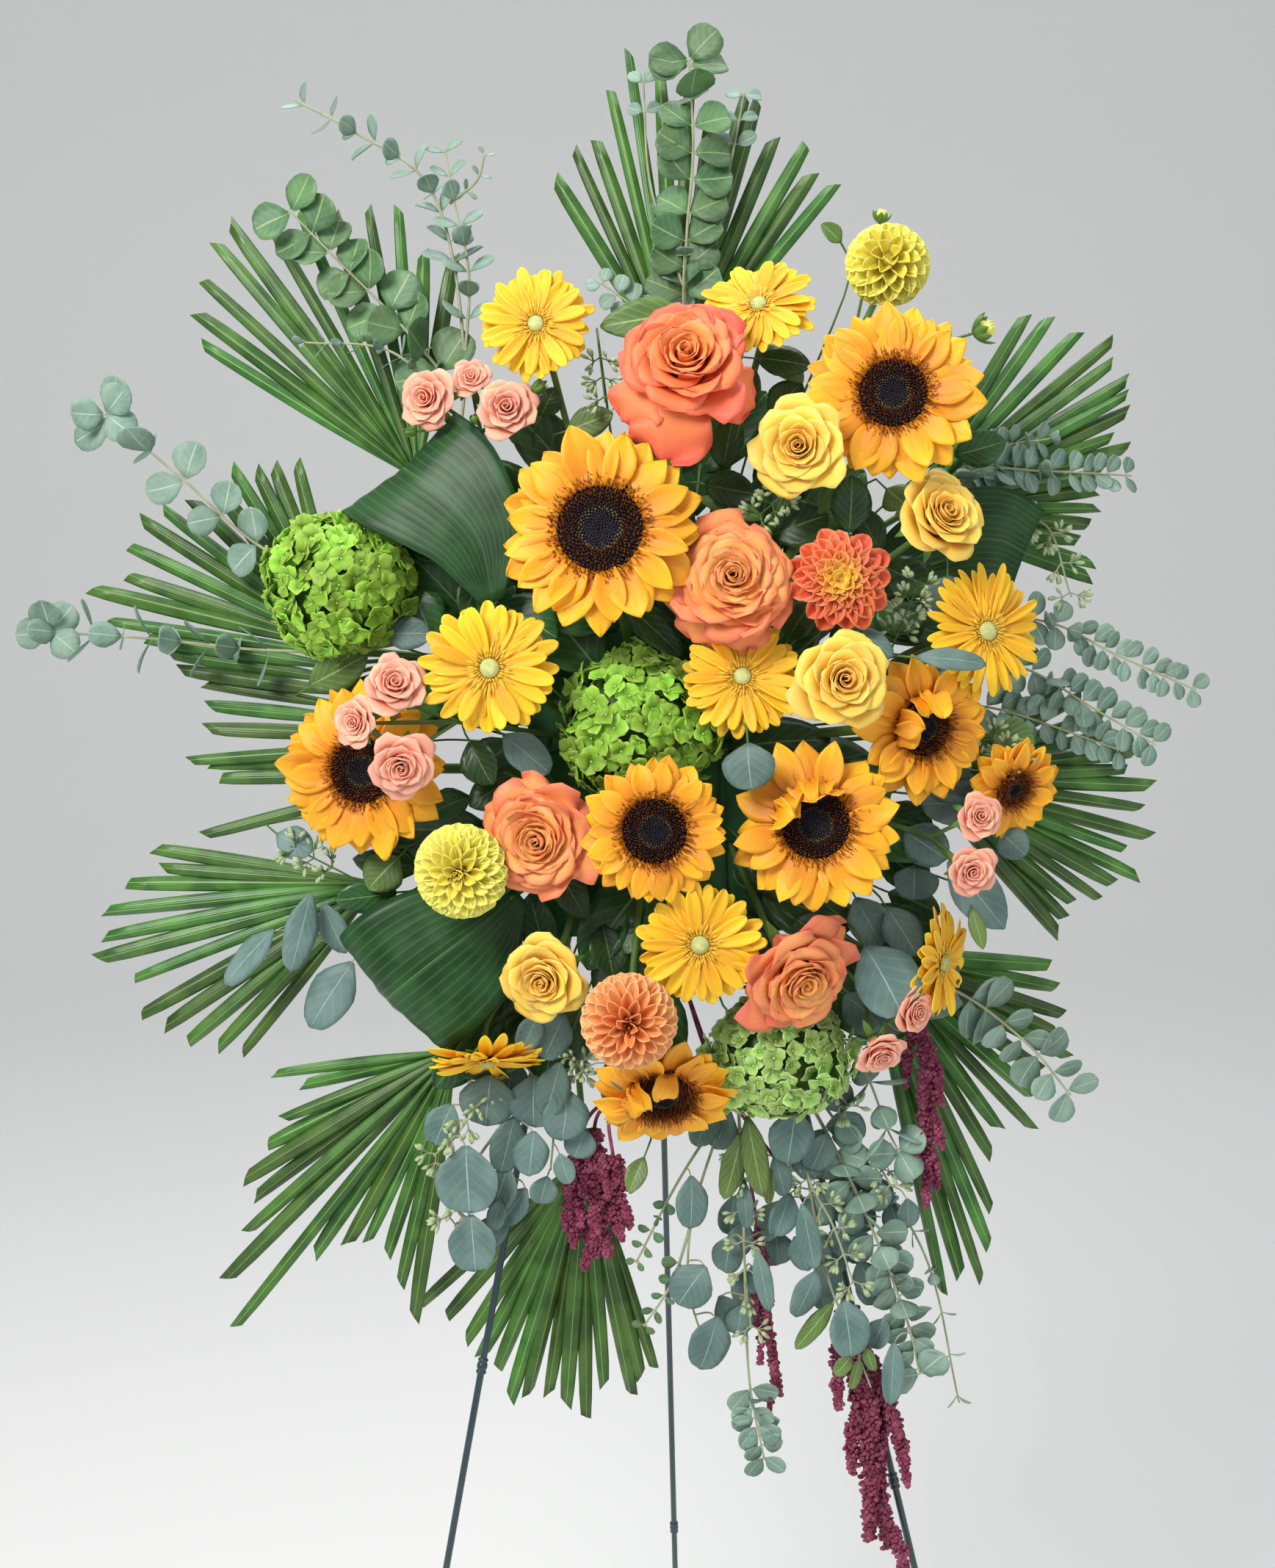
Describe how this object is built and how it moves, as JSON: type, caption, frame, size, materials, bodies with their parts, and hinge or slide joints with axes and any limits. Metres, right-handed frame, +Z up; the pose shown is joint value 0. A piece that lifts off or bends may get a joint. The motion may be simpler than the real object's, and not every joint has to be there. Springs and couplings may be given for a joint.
{
  "type": "standing funeral spray",
  "caption": "Standing spray of sunflowers, gerberas, roses, dahlias and palm fans in a caged foam brick, hung on a folding three-legged wire easel.",
  "frame": {"origin": "on the floor, under the middle of the whole object", "axes": "+Z up, +X to the right as seen from the front; the flowers face -Y and the rear leg reaches to +Y"},
  "size_m": [0.9684, 0.7046, 1.8262],
  "materials": {
    "sunflower": "golden petals round a dark brown disc",
    "gerbera": "bright yellow petals round a pale green eye",
    "orange_rose": "coral petals, peach yellow at the heart",
    "yellow_rose": "warm yellow petals",
    "dahlia": "lemon or orange petals",
    "hydrangea": "lime green florets",
    "spray_rose": "peach pink petals",
    "palm": "satin green blades",
    "eucalyptus": "matt blue green leaves",
    "aspidistra": "glossy dark green",
    "amaranthus": "matt dark burgundy",
    "enamel": "satin dark teal enamel on steel wire",
    "cage_plastic": "moulded dark green plastic",
    "foam": "soaked floral foam, matt"
  },
  "bodies": {
    "stand": {"sunflower_1": "sunflower", "sunflower_2": "sunflower", "sunflower_3": "sunflower", "sunflower_4": "sunflower", "sunflower_5": "sunflower", "sunflower_6": "sunflower", "sunflower_7": "sunflower", "sunflower_8": "sunflower", "gerbera_1": "gerbera", "gerbera_2": "gerbera", "gerbera_3": "gerbera", "gerbera_4": "gerbera", "gerbera_5": "gerbera", "gerbera_6": "gerbera", "gerbera_7": "gerbera", "gerbera_8": "gerbera", "rose_orange_1": "orange_rose", "rose_orange_2": "orange_rose", "rose_orange_3": "orange_rose", "rose_orange_4": "orange_rose", "rose_yellow_1": "yellow_rose", "rose_yellow_2": "yellow_rose", "rose_yellow_3": "yellow_rose", "rose_yellow_4": "yellow_rose", "dahlia_1": "dahlia", "dahlia_2": "dahlia", "dahlia_3": "dahlia", "dahlia_4": "dahlia", "hydrangea_1": "hydrangea", "hydrangea_2": "hydrangea", "hydrangea_3": "hydrangea", "spray_rose_1": "spray_rose", "spray_rose_2": "spray_rose", "spray_rose_3": "spray_rose", "spray_rose_4": "spray_rose", "palm_fan_1": "palm", "palm_fan_2": "palm", "palm_fan_3": "palm", "palm_fan_4": "palm", "palm_fan_5": "palm", "palm_fan_6": "palm", "palm_fan_7": "palm", "palm_fan_8": "palm", "palm_fan_9": "palm", "eucalyptus_left": "eucalyptus", "eucalyptus_top": "eucalyptus", "eucalyptus_right": "eucalyptus", "eucalyptus_trailing": "eucalyptus", "eucalyptus_silver": "eucalyptus", "aspidistra_1": "aspidistra", "aspidistra_2": "aspidistra", "aspidistra_3": "aspidistra", "amaranthus": "amaranthus", "easel_leg_left": "enamel", "easel_leg_right": "enamel", "easel_top_bar": "enamel", "easel_holder_bar": "enamel", "foam_cage": "cage_plastic", "floral_foam": "foam"},
    "rear_leg": {"easel_rear_leg": "enamel"}
  },
  "joints": [
    {"name": "rear_leg_fold", "type": "hinge", "parent": "stand", "child": "rear_leg", "pos_m": [0.02876, -0.03542, 1.43527], "axis": [-1, 0, 0], "range_deg": [0, 25]}
  ]
}
